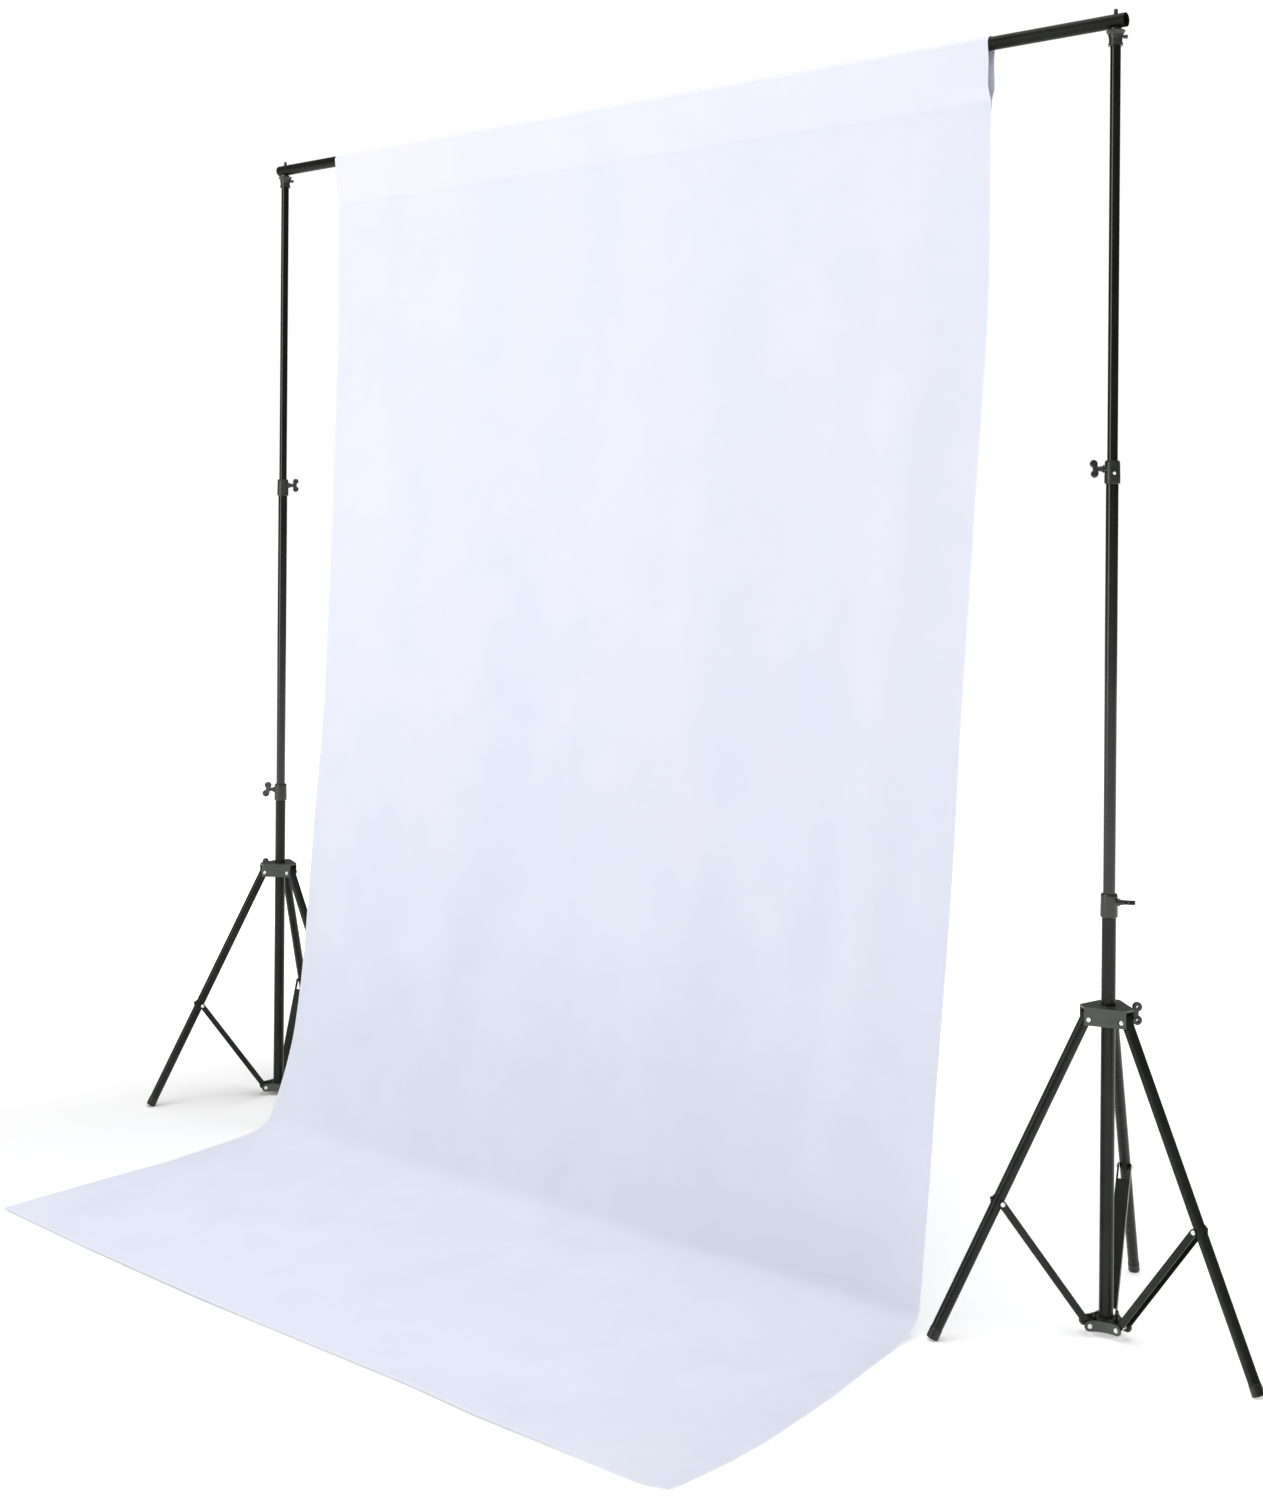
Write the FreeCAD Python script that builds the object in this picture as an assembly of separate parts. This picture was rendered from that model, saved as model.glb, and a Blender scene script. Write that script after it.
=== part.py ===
import FreeCAD, Part
import math
import os

# A pair of telescoping light stands that carry a crossbar with a white cloth backdrop.
# Millimetres. While it is being built, the crossbar runs along X over the origin, the floor is
# z = 0 and the cloth sweeps forward towards -Y. At the end every piece is moved together, so that
# the origin is the middle of the whole assembly's footprint.

V = FreeCAD.Vector
UP = V(0, 0, 1)

# Crossbar: four equal tubes that plug into each other.
BAR_LENGTH = 2000.0
BAR_SECTIONS = 4
BAR_RADIUS = 11.0
BAR_WALL = 1.2
BAR_AXIS_Z = 2036.0
SPIGOT_LENGTH = 45.0
SPIGOT_CLEARANCE = 0.1
STAND_X = 982.5

# Stand tubes.
LOWER_RADIUS, LOWER_BORE = 11.0, 9.8
MIDDLE_RADIUS, MIDDLE_BORE = 9.5, 8.4
TOP_RADIUS, TOP_BORE = 8.0, 7.0
LOWER_BOTTOM, LOWER_TOP = 10.0, 672.0
MIDDLE_BOTTOM, MIDDLE_TOP = 600.0, 1344.0
TOP_BOTTOM, TOP_TOP = 1210.0, 2014.0
BUSH_LENGTH, BUSH_PLUG, BUSH_CLEARANCE = 8.0, 20.0, 0.06
RUNNING = 0.1

# Clamp collars at the top of the lower and middle tubes.
COLLAR_HEIGHT = 36.0
LOWER_COLLAR_Z = 664.0
MIDDLE_COLLAR_Z = 1336.0
COLLAR_WALL = 2.6
KNOB_RISE = 5.0
BOSS_RADIUS = 6.0
BOSS_REACH = 4.5

# Wing knobs: how far the two lobes stand from the screw's axis, their radius, and the hole in each.
SCREW_RADIUS = 3.0
STEM_LENGTH = 8.0
SMALL_WING = (8.6, 5.8, 0.0)
LARGE_WING = (10.4, 7.4, 2.4)
WING_DEPTH = 7.0

# Spreader: a sliding hub, three legs, and three struts from a fixed base.
LEG_RADIUS, LEG_BORE = 9.0, 8.0
FOOT_CIRCLE = 278.0
HUB_PIVOT_R, HUB_PIVOT_Z = 36.0, 490.0
BASE_PIVOT_R, BASE_PIVOT_Z = 30.5, 17.0
STRUT_PIVOT_ALONG = 312.0
STRUT_PIVOT_INWARD = 5.5
PIN_RADIUS, PIN_CLEARANCE = 2.4, 0.06
RIVET_RADIUS, RIVET_HEIGHT = 4.1, 2.2
HUB_BOTTOM, HUB_TOP, HUB_PLATE = 481.0, 509.0, 3.0
HUB_CORNER_R, HUB_SLOT, HUB_EAR = 42.5, 9.4, 2.8
HUB_BOSS_RADIUS = 16.0
HUB_KNOB_SEAT = 31.0
RIVET_SEAT_RADIUS, HUB_RIVET_REACH = 4.4, 13.4
BASE_BOTTOM, BASE_TOP, BASE_PLATE = 8.8, 25.2, 2.4
BASE_SLOT, BASE_EAR = 11.3, 2.6
BASE_LOBE, BASE_WAIST_R, BASE_BOSS_RADIUS = 8.5, 23.0, 15.0
STRUT_INSIDE, STRUT_WALL, STRUT_DEPTH = 9.4, 1.5, 11.0
STRUT_WEB_START, STRUT_WEB_END = 9.0, 22.0
LEG_TOP = 8.0
FOOT_WALL, FOOT_SLEEVE, FOOT_TIP, FOOT_WORN = 0.5, 12.0, 5.0, 1.6
CLIP_WALL, CLIP_HEIGHT, CLIP_HALF_WIDTH = 1.4, 11.0, 6.5
CLIP_BUMP_RADIUS, CLIP_BUMP_HEIGHT = 2.6, 2.4

# Head that carries the crossbar.
HEAD_BOTTOM, HEAD_TOP = 1998.0, 2021.0
HEAD_RADIUS, HEAD_LIP_RADIUS, HEAD_RIM_RADIUS = 10.2, 11.3, 14.5
STUD_RADIUS, STUD_END_RADIUS, STUD_ABOVE_BAR = 4.0, 3.0, 8.0
SHOULDER_RADIUS, SHOULDER_HEIGHT = 9.0, 4.0
HEAD_SCREW_AZIMUTH, HEAD_SCREW_Z, HEAD_SCREW_GRIP = 36.0, 2012.0, (12.2, 18.2)

# Cloth: pocket round the crossbar, hanging panel and forward sweep on the floor.
CLOTH_LEFT, CLOTH_RIGHT = -806.0, 766.0
CLOTH_THICKNESS = 2.0
POCKET_RADIUS = 11.6
SEAM_Z = 1942.0
POCKET_TIP_RISE = 12.0
FALL_STEPS, POCKET_STEPS = 40, 16
LEFT_FALL = [
    (0, 1942), (0, 1650), (-8, 1450), (-15, 1263), (-26, 1010), (-45, 753), (-68, 502),
    (-100, 235), (-127, 125), (-160, 55), (-200, 14), (-240, 1),
]
RIGHT_FALL = [
    (0, 1942), (-2, 1650), (-18, 1454), (-43, 1260), (-64, 1069), (-91, 786), (-113, 600),
    (-149, 325), (-179, 147), (-192, 72), (-213, 28), (-255, 1),
]
FLOOR_RUN = [0.08, 0.35, 0.7, 1.0]
LEFT_FRONT_Y, RIGHT_FRONT_Y = -812.0, -834.0

# Which way the legs and the screws of each stand point, in degrees about its pole.
STANDS = {
    "left": {"x": -STAND_X, "legs": (-117.5, 2.5, 122.5), "lower": -150.0, "middle": 38.0, "hub": -177.5,
             "turn": {"lower": 40.0, "middle": 4.0, "hub": 0.0}},
    "right": {"x": STAND_X, "legs": (-134.1, -14.1, 105.9), "lower": 30.0, "middle": -140.0, "hub": 45.9,
              "turn": {"lower": 80.0, "middle": 22.0, "hub": 0.0}},
}

LEG_ANGLE = math.atan2(FOOT_CIRCLE - HUB_PIVOT_R, HUB_PIVOT_Z)
LEG_LENGTH = math.hypot(FOOT_CIRCLE - HUB_PIVOT_R, HUB_PIVOT_Z)
FOOT_END = (HUB_PIVOT_Z + FOOT_WORN - (LEG_RADIUS + FOOT_WALL) * math.sin(LEG_ANGLE)) / math.cos(LEG_ANGLE)
STRUT_TOP_R = (HUB_PIVOT_R + STRUT_PIVOT_ALONG * math.sin(LEG_ANGLE)
               - STRUT_PIVOT_INWARD * math.cos(LEG_ANGLE))
STRUT_TOP_Z = (HUB_PIVOT_Z - STRUT_PIVOT_ALONG * math.cos(LEG_ANGLE)
               - STRUT_PIVOT_INWARD * math.sin(LEG_ANGLE))
STRUT_LENGTH = math.hypot(STRUT_TOP_R - BASE_PIVOT_R, STRUT_TOP_Z - BASE_PIVOT_Z)
STRUT_ANGLE = math.atan2(STRUT_TOP_R - BASE_PIVOT_R, STRUT_TOP_Z - BASE_PIVOT_Z)


def cylinder(radius, start, end):
    return Part.makeCylinder(radius, (end - start).Length, start, end - start)


def ring(outer, inner, z0, z1):
    return cylinder(outer, V(0, 0, z0), V(0, 0, z1)).cut(cylinder(inner, V(0, 0, z0 - 1), V(0, 0, z1 + 1)))


def block(x0, x1, y0, y1, z0, z1):
    return Part.makeBox(x1 - x0, y1 - y0, z1 - z0, V(x0, y0, z0))


def turned(shape, azimuth):
    return shape.rotated(V(0, 0, 0), UP, azimuth)


def revolved(points):
    outline = Part.makePolygon([V(r, 0, z) for r, z in points + points[:1]])
    return Part.Face(outline).revolve(V(0, 0, 0), UP, 360)


def fused(shapes):
    return shapes[0].fuse(shapes[1:]).removeSplitter()


def crossbar_section(index):
    """One tube of the crossbar. All but the last end in a thinner spigot for the next tube."""
    length = BAR_LENGTH / BAR_SECTIONS
    x0 = -BAR_LENGTH / 2 + index * length
    x1 = x0 + length
    bore = BAR_RADIUS - BAR_WALL
    tube = cylinder(BAR_RADIUS, V(x0, 0, BAR_AXIS_Z), V(x1, 0, BAR_AXIS_Z))
    tube = tube.cut(cylinder(bore, V(x0 - 1, 0, BAR_AXIS_Z), V(x1 + 1, 0, BAR_AXIS_Z)))
    if index < BAR_SECTIONS - 1:
        spigot_radius = bore - SPIGOT_CLEARANCE
        start, end = V(x1 - SPIGOT_LENGTH, 0, BAR_AXIS_Z), V(x1 + SPIGOT_LENGTH, 0, BAR_AXIS_Z)
        neck = cylinder(bore, start, V(x1, 0, BAR_AXIS_Z))
        sleeve = neck.fuse(cylinder(spigot_radius, start, end))
        tube = tube.fuse(sleeve.cut(cylinder(spigot_radius - BAR_WALL, start - V(1, 0, 0), end + V(1, 0, 0))))
    for side in (-STAND_X, STAND_X):
        if x0 < side < x1:
            below, above = V(side, 0, BAR_AXIS_Z - 20), V(side, 0, BAR_AXIS_Z + 20)
            tube = tube.cut(cylinder(STUD_RADIUS + RUNNING, below, above))
    return tube.removeSplitter()


def bush(radius, bore, z):
    """Plastic guide at the bottom of a sliding tube: a flange that runs in the outer tube and a plug."""
    flange = ring(radius, bore - 2.0, z - BUSH_LENGTH, z)
    return flange.fuse(ring(bore - 0.05, bore - 2.0, z, z + BUSH_PLUG)).removeSplitter()


def collar(tube_radius, slider_radius, z, tube_top, azimuth):
    """Clamp collar: seated on the lower tube, bored for the sliding tube, with a boss for its screw."""
    z0, z1 = z - COLLAR_HEIGHT / 2, z + COLLAR_HEIGHT / 2
    foot, crown = tube_radius + COLLAR_WALL, slider_radius + COLLAR_WALL
    body = revolved([(0, z0), (foot - 0.8, z0), (foot, z0 + 1), (foot, z0 + 9),
                     (crown + 1, z1 - 3), (crown, z1), (0, z1)])
    rise = V(0, 0, z + KNOB_RISE)
    body = body.fuse(cylinder(BOSS_RADIUS, rise, rise + V(foot + BOSS_REACH - 2, 0, 0)))
    body = body.cut(cylinder(tube_radius, V(0, 0, z0 - 1), V(0, 0, tube_top)))
    body = body.cut(cylinder(slider_radius + RUNNING, V(0, 0, z0), V(0, 0, z1 + 1)))
    body = body.cut(cylinder(SCREW_RADIUS + RUNNING, rise, rise + V(40, 0, 0)))
    return turned(body.removeSplitter(), azimuth)


def wing_knob(tip_r, seat_r, z, azimuth, turn, wing):
    """Screw with a two-lobed wing. Its axis is radial; turn is the wing's angle about that axis."""
    spread, lobe_radius, hole = wing
    wing_x = seat_r + STEM_LENGTH + lobe_radius
    half = WING_DEPTH / 2
    pieces = [
        cylinder(SCREW_RADIUS, V(tip_r, 0, 0), V(wing_x, 0, 0)),
        Part.makeCone(4.6, 3.6, STEM_LENGTH, V(seat_r + 0.4, 0, 0), V(1, 0, 0)),
        block(wing_x - lobe_radius + 0.6, wing_x + 1.6, -half + 0.6, half - 0.6, -spread, spread),
    ]
    for side in (-spread, spread):
        lobe = cylinder(lobe_radius, V(wing_x, -half, side), V(wing_x, half, side))
        pieces.append(lobe.makeFillet(1.6, [e for e in lobe.Edges if isinstance(e.Curve, Part.Circle)]))
    knob = fused(pieces)
    if hole:
        knob = knob.cut([cylinder(hole, V(wing_x, -WING_DEPTH, side), V(wing_x, WING_DEPTH, side))
                         for side in (-spread, spread)])
    knob = knob.rotated(V(0, 0, 0), V(1, 0, 0), turn)
    return turned(knob.translated(V(0, 0, z)), azimuth)


def head():
    """Flared cap on the top tube, open at the top like a dish."""
    outside = [(0, HEAD_BOTTOM), (HEAD_LIP_RADIUS, HEAD_BOTTOM), (HEAD_LIP_RADIUS, HEAD_BOTTOM + 3),
               (HEAD_RADIUS, HEAD_BOTTOM + 4), (HEAD_RADIUS, HEAD_BOTTOM + 10),
               (HEAD_RADIUS + 1.3, HEAD_TOP - 6),
               (HEAD_RIM_RADIUS, HEAD_TOP - 1), (HEAD_RIM_RADIUS, HEAD_TOP), (HEAD_RIM_RADIUS - 2, HEAD_TOP),
               (6.5, HEAD_TOP - 4), (0, HEAD_TOP - 4)]
    cap = revolved(outside)
    cap = cap.cut(cylinder(TOP_RADIUS, V(0, 0, HEAD_BOTTOM - 1), V(0, 0, TOP_TOP)))
    return cap.cut(cylinder(STUD_RADIUS, V(0, 0, TOP_TOP - 1), V(0, 0, HEAD_TOP + 1)))


def stud():
    """Bright stud through the crossbar, with the shoulder that the bar rests on."""
    bar_bottom = BAR_AXIS_Z - BAR_RADIUS
    top = BAR_AXIS_Z + BAR_RADIUS + STUD_ABOVE_BAR
    rod = cylinder(STUD_RADIUS, V(0, 0, TOP_TOP), V(0, 0, BAR_AXIS_Z + BAR_RADIUS))
    free_end = cylinder(STUD_END_RADIUS, V(0, 0, BAR_AXIS_Z), V(0, 0, top - 1))
    tip = Part.makeCone(STUD_END_RADIUS, STUD_END_RADIUS - 1, 1, V(0, 0, top - 1), UP)
    shoulder = cylinder(SHOULDER_RADIUS, V(0, 0, bar_bottom - SHOULDER_HEIGHT), V(0, 0, bar_bottom))
    post = cylinder(STUD_RADIUS + 2, V(0, 0, HEAD_TOP - 4), V(0, 0, bar_bottom - SHOULDER_HEIGHT + 1))
    return fused([rod, free_end, tip, shoulder, post])


def head_screw():
    """Small knurled set screw in the side of the head."""
    grip_start, grip_end = HEAD_SCREW_GRIP
    shank = cylinder(1.6, V(TOP_RADIUS + 0.2, 0, HEAD_SCREW_Z), V(grip_start + 1, 0, HEAD_SCREW_Z))
    grip = cylinder(2.9, V(grip_start, 0, HEAD_SCREW_Z), V(grip_end, 0, HEAD_SCREW_Z))
    return turned(fused([shank, grip]), HEAD_SCREW_AZIMUTH)


def radial_outline(points_of_corner, azimuths):
    """Closed outline through the same points repeated at each corner's azimuth."""
    points = []
    for azimuth in sorted(azimuths):
        for x, y in points_of_corner:
            points.append(FreeCAD.Rotation(UP, azimuth).multVec(V(x, y, 0)))
    return Part.Face(Part.makePolygon(points + points[:1]))


def hub(azimuths, knob_azimuth):
    """Sliding hub: a three-cornered shell with a flat top, a slot for a leg at each corner, and a boss."""
    half = HUB_SLOT + HUB_EAR
    corner = [(HUB_CORNER_R - 3, -half), (HUB_CORNER_R, -half + 3),
              (HUB_CORNER_R, half - 3), (HUB_CORNER_R - 3, half)]
    inner = [(HUB_CORNER_R + 5, -HUB_SLOT - 0.1), (HUB_CORNER_R + 5, HUB_SLOT + 0.1)]
    outline = radial_outline(corner, azimuths)
    outline.translate(V(0, 0, HUB_BOTTOM))
    body = outline.extrude(V(0, 0, HUB_TOP - HUB_BOTTOM))
    hollow = radial_outline(inner, azimuths)
    hollow.translate(V(0, 0, HUB_BOTTOM - 1))
    hollow = hollow.extrude(V(0, 0, HUB_TOP - HUB_PLATE - HUB_BOTTOM + 1))
    hollow = hollow.common(cylinder(HUB_CORNER_R - HUB_EAR - 11, V(0, 0, HUB_BOTTOM - 1), V(0, 0, HUB_TOP)))
    slots = [turned(block(0, HUB_CORNER_R + 5, -HUB_SLOT, HUB_SLOT, HUB_BOTTOM - 1, HUB_TOP - HUB_PLATE), a)
             for a in azimuths]
    body = body.cut([hollow] + slots)
    boss = cylinder(HUB_BOSS_RADIUS, V(0, 0, HUB_BOTTOM), V(0, 0, HUB_TOP))
    knob_z = (HUB_BOTTOM + HUB_TOP) / 2
    knob_boss = turned(cylinder(BOSS_RADIUS, V(0, 0, knob_z), V(HUB_KNOB_SEAT, 0, knob_z)), knob_azimuth)
    body = body.fuse([boss, knob_boss])
    body = body.cut(cylinder(LOWER_RADIUS + RUNNING, V(0, 0, HUB_BOTTOM - 1), V(0, 0, HUB_TOP + 1)))
    drills = [turned(cylinder(SCREW_RADIUS + RUNNING, V(0, 0, knob_z), V(60, 0, knob_z)), knob_azimuth)]
    for azimuth in azimuths:
        drills.append(turned(rivet_hole(HUB_PIVOT_R, HUB_PIVOT_Z, HUB_RIVET_REACH), azimuth))
    return body.cut(drills).removeSplitter()


def rivet_hole(radius_out, z, reach):
    """Hole for a rivet's pin, with a flat seat for the head at each end."""
    seats = [cylinder(RIVET_SEAT_RADIUS, V(radius_out, side * reach, z), V(radius_out, side * (reach + 8), z))
             for side in (-1, 1)]
    return cylinder(PIN_RADIUS, V(radius_out, -reach, z), V(radius_out, reach, z)).fuse(seats)


def rivet(radius_out, z, reach, azimuth):
    """Rivet with a round head on both ends, across one corner of the hub or base."""
    pin = cylinder(PIN_RADIUS, V(radius_out, -reach - 1, z), V(radius_out, reach + 1, z))
    heads = []
    for side in (-1, 1):
        dome = Part.makeSphere(RIVET_RADIUS, V(radius_out, side * (reach - 1.2), z))
        keep = block(radius_out - 6, radius_out + 6, reach, reach + RIVET_HEIGHT, z - 6, z + 6)
        if side < 0:
            keep = keep.mirror(V(0, 0, 0), V(0, 1, 0))
        heads.append(dome.common(keep))
    return turned(fused([pin] + heads), azimuth)


def base(azimuths):
    """Fixed base on the lower tube's end: concave walls, and a slot between rounded ears for each strut."""
    half = BASE_SLOT + BASE_EAR
    reach = BASE_PIVOT_R + BASE_LOBE
    ordered = sorted(azimuths)
    edges = []
    spin = [FreeCAD.Rotation(UP, a) for a in ordered]
    for i, azimuth in enumerate(ordered):
        low, high = spin[i].multVec(V(reach, -half, 0)), spin[i].multVec(V(reach, half, 0))
        waist = FreeCAD.Rotation(UP, azimuth + 60).multVec(V(BASE_WAIST_R, 0, 0))
        following = spin[(i + 1) % 3].multVec(V(reach, -half, 0))
        edges.append(Part.LineSegment(low, high).toShape())
        edges.append(Part.Arc(high, waist, following).toShape())
    outline = Part.Face(Part.Wire(edges))
    body = outline.extrude(V(0, 0, BASE_TOP - BASE_BOTTOM)).translated(V(0, 0, BASE_BOTTOM))
    floor_z = BASE_BOTTOM + BASE_PLATE
    well = ring(BASE_WAIST_R - BASE_EAR, BASE_BOSS_RADIUS, floor_z, BASE_TOP + 1)
    under, over, tip = BASE_BOTTOM - 1, BASE_TOP + 1, reach + 5
    pivot = V(BASE_PIVOT_R, 0, BASE_PIVOT_Z)
    lobe = cylinder(BASE_LOBE, pivot - V(0, half + 6, 0), pivot + V(0, half + 6, 0))
    corner_cuts = [
        block(BASE_BOSS_RADIUS + 1, tip, -BASE_SLOT, BASE_SLOT, floor_z, over),
        block(BASE_PIVOT_R - 7.5, tip, -BASE_SLOT, BASE_SLOT, under, over),
        block(BASE_PIVOT_R, tip, -half - 5, half + 5, under, over).cut(lobe),
        rivet_hole(BASE_PIVOT_R, BASE_PIVOT_Z, half),
    ]
    cuts = [well]
    for azimuth in azimuths:
        cuts += [turned(shape, azimuth) for shape in corner_cuts]
    cuts.append(cylinder(LOWER_RADIUS, V(0, 0, LOWER_BOTTOM), V(0, 0, BASE_TOP + 1)))
    return body.cut(cuts).removeSplitter()


def place_on_leg(shape, azimuth):
    """Moves a shape drawn along -Z from the hub pivot to its leg."""
    leaned = shape.rotated(V(0, 0, 0), V(0, 1, 0), -math.degrees(LEG_ANGLE))
    return turned(leaned.translated(V(HUB_PIVOT_R, 0, HUB_PIVOT_Z)), azimuth)


def leg(azimuth):
    """Leg tube with the band and bump of the strut's clip on its outer side."""
    end = -FOOT_END + FOOT_TIP
    tube = cylinder(LEG_RADIUS, V(0, 0, LEG_TOP), V(0, 0, end))
    low, high = -STRUT_PIVOT_ALONG - CLIP_HEIGHT / 2, -STRUT_PIVOT_ALONG + CLIP_HEIGHT / 2
    band = cylinder(LEG_RADIUS + CLIP_WALL, V(0, 0, low), V(0, 0, high))
    band = band.common(block(0, 20, -CLIP_HALF_WIDTH, CLIP_HALF_WIDTH, low, high))
    bump_end = LEG_RADIUS + CLIP_WALL + CLIP_BUMP_HEIGHT
    bump = cylinder(CLIP_BUMP_RADIUS, V(0, 0, -STRUT_PIVOT_ALONG), V(bump_end, 0, -STRUT_PIVOT_ALONG))
    tube = tube.fuse([band, bump])
    tube = tube.cut(cylinder(LEG_BORE, V(0, 0, LEG_TOP + 1), V(0, 0, end - 1)))
    tube = tube.cut(cylinder(PIN_RADIUS + PIN_CLEARANCE, V(0, -20, 0), V(0, 20, 0)))
    return place_on_leg(tube.removeSplitter(), azimuth)


def foot(azimuth):
    """Plastic cap over the leg's end, cut square, with a small flat where it stands on the floor."""
    outside = LEG_RADIUS + FOOT_WALL
    top, bottom = -FOOT_END + FOOT_TIP + FOOT_SLEEVE, -FOOT_END
    cap = revolved([(0, bottom), (outside - 1, bottom), (outside, bottom + 1),
                    (outside, top - 0.5), (outside - 0.5, top), (0, top)])
    cap = cap.cut(cylinder(LEG_RADIUS, V(0, 0, top + 1), V(0, 0, bottom + FOOT_TIP)))
    return place_on_leg(cap, azimuth).cut(block(-400, 400, -400, 400, -50, 0))


def strut(azimuth):
    """Folded strip strut, open towards its leg; the rivet that joins them stops short of the leg."""
    inside, outside, deep = STRUT_INSIDE, STRUT_INSIDE + STRUT_WALL, STRUT_DEPTH / 2
    shell = block(-deep, deep, -outside, outside, 0, STRUT_LENGTH)
    shell = shell.cut(block(-deep + STRUT_WALL, deep + 1, -inside, inside, -1, STRUT_LENGTH + 1))
    shell = shell.cut([
        block(-deep - 1, deep, -inside, inside, -1, STRUT_WEB_START),
        block(-deep - 1, deep, -inside, inside, STRUT_LENGTH - STRUT_WEB_END, STRUT_LENGTH + 1),
    ])
    pieces = [shell]
    for end in (0, STRUT_LENGTH):
        disc = cylinder(deep, V(0, -outside, end), V(0, outside, end))
        pieces.append(disc.cut(block(-10, 10, -inside, inside, end - 10, end + 10)))
    for side in (-1, 1):
        dome = Part.makeSphere(RIVET_RADIUS, V(0, side * (outside - 1.2), STRUT_LENGTH))
        keep = block(-6, 6, outside - 0.2, outside + RIVET_HEIGHT, STRUT_LENGTH - 6, STRUT_LENGTH + 6)
        if side < 0:
            keep = keep.mirror(V(0, 0, 0), V(0, 1, 0))
        pieces.append(dome.common(keep))
    body = fused(pieces).cut(cylinder(PIN_RADIUS + PIN_CLEARANCE, V(0, -30, 0), V(0, 30, 0)))
    leaned = body.rotated(V(0, 0, 0), V(0, 1, 0), math.degrees(STRUT_ANGLE))
    return turned(leaned.translated(V(BASE_PIVOT_R, 0, BASE_PIVOT_Z)), azimuth)


def stand(side, facts):
    """All the pieces of one stand, by node name."""
    turns = facts["turn"]
    seat_lower = LOWER_RADIUS + COLLAR_WALL + BOSS_REACH - 2
    seat_middle = MIDDLE_RADIUS + COLLAR_WALL + BOSS_REACH - 2
    nodes = {
        "lower_tube": ring(LOWER_RADIUS, LOWER_BORE, LOWER_BOTTOM, LOWER_TOP),
        "middle_tube": ring(MIDDLE_RADIUS, MIDDLE_BORE, MIDDLE_BOTTOM, MIDDLE_TOP),
        "top_tube": ring(TOP_RADIUS, TOP_BORE, TOP_BOTTOM, TOP_TOP),
        "middle_bush": bush(LOWER_BORE - BUSH_CLEARANCE, MIDDLE_BORE, MIDDLE_BOTTOM),
        "top_bush": bush(MIDDLE_BORE - BUSH_CLEARANCE, TOP_BORE, TOP_BOTTOM),
        "lower_clamp": collar(LOWER_RADIUS, MIDDLE_RADIUS, LOWER_COLLAR_Z, LOWER_TOP, facts["lower"]),
        "middle_clamp": collar(MIDDLE_RADIUS, TOP_RADIUS, MIDDLE_COLLAR_Z, MIDDLE_TOP, facts["middle"]),
        "lower_knob": wing_knob(MIDDLE_RADIUS + 0.4, seat_lower, LOWER_COLLAR_Z + KNOB_RISE,
                                facts["lower"], turns["lower"], LARGE_WING),
        "middle_knob": wing_knob(TOP_RADIUS + 0.4, seat_middle, MIDDLE_COLLAR_Z + KNOB_RISE,
                                 facts["middle"], turns["middle"], SMALL_WING),
        "hub_knob": wing_knob(LOWER_RADIUS + 0.4, HUB_KNOB_SEAT, (HUB_BOTTOM + HUB_TOP) / 2,
                              facts["hub"], turns["hub"], LARGE_WING),
        "head": head(),
        "stud": stud(),
        "head_screw": head_screw(),
        "hub": hub(facts["legs"], facts["hub"]),
        "base_spider": base(facts["legs"]),
        "hub_rivets": Part.makeCompound([rivet(HUB_PIVOT_R, HUB_PIVOT_Z, HUB_RIVET_REACH, azimuth)
                                         for azimuth in facts["legs"]]),
        "base_rivets": Part.makeCompound([rivet(BASE_PIVOT_R, BASE_PIVOT_Z, BASE_SLOT + BASE_EAR, azimuth)
                                          for azimuth in facts["legs"]]),
    }
    for number, azimuth in enumerate(facts["legs"], 1):
        nodes["leg_%d" % number] = leg(azimuth)
        nodes["foot_%d" % number] = foot(azimuth)
        nodes["strut_%d" % number] = strut(azimuth)
    drill = cylinder(1.7, V(0, 0, HEAD_SCREW_Z), V(30, 0, HEAD_SCREW_Z))
    nodes["head"] = nodes["head"].cut(turned(drill, HEAD_SCREW_AZIMUTH))
    holes = {"lower_tube": "lower", "middle_tube": "middle"}
    for node, name in holes.items():
        z = (LOWER_COLLAR_Z if node == "lower_tube" else MIDDLE_COLLAR_Z) + KNOB_RISE
        hole = cylinder(SCREW_RADIUS + 0.4, V(0, 0, z), V(40, 0, z))
        nodes[node] = nodes[node].cut(turned(hole, facts[name]))
    return {"%s_%s" % (side, name): shape.translated(V(facts["x"], 0, 0)) for name, shape in nodes.items()}


def pocket_tangent(radius, drop):
    """Where a line from a point below the crossbar's axis touches a circle round it: (y, z)."""
    slope = math.acos(radius / drop)
    return radius * math.sin(slope), BAR_AXIS_Z - radius * math.cos(slope)


def cloth_outline(x, fall, front_y):
    """Outline of the cloth at one side edge: pocket round the bar, fall, and run on the floor."""
    half = CLOTH_THICKNESS / 2
    last = fall[-1][0]
    centre = [V(x, y, z) for y, z in fall[:-1]]
    centre += [V(x, last + (front_y - last) * t, half) for t in FLOOR_RUN]
    middle = Part.BSplineCurve()
    middle.interpolate(centre)
    front, back = [], []
    for i in range(FALL_STEPS + 1):
        at = middle.parameterAtDistance(middle.length() * i / FALL_STEPS)
        point = middle.value(at)
        along = middle.tangent(at)[0]
        across = along.cross(V(1, 0, 0)) * half
        point.z = max(point.z, half)
        front.append(point + across)
        back.append(point - across)
    radius = POCKET_RADIUS + CLOTH_THICKNESS
    touch_y, touch_z = pocket_tangent(radius, BAR_AXIS_Z - SEAM_Z)
    start = math.atan2(touch_z - BAR_AXIS_Z, touch_y)
    sweep = math.pi - 2 * start
    angles = [start + sweep * i / POCKET_STEPS for i in range(POCKET_STEPS + 1)]
    over = [V(x, radius * math.cos(a), BAR_AXIS_Z + radius * math.sin(a)) for a in angles]
    return Part.makePolygon(front + back[::-1] + over + front[:1])


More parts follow.
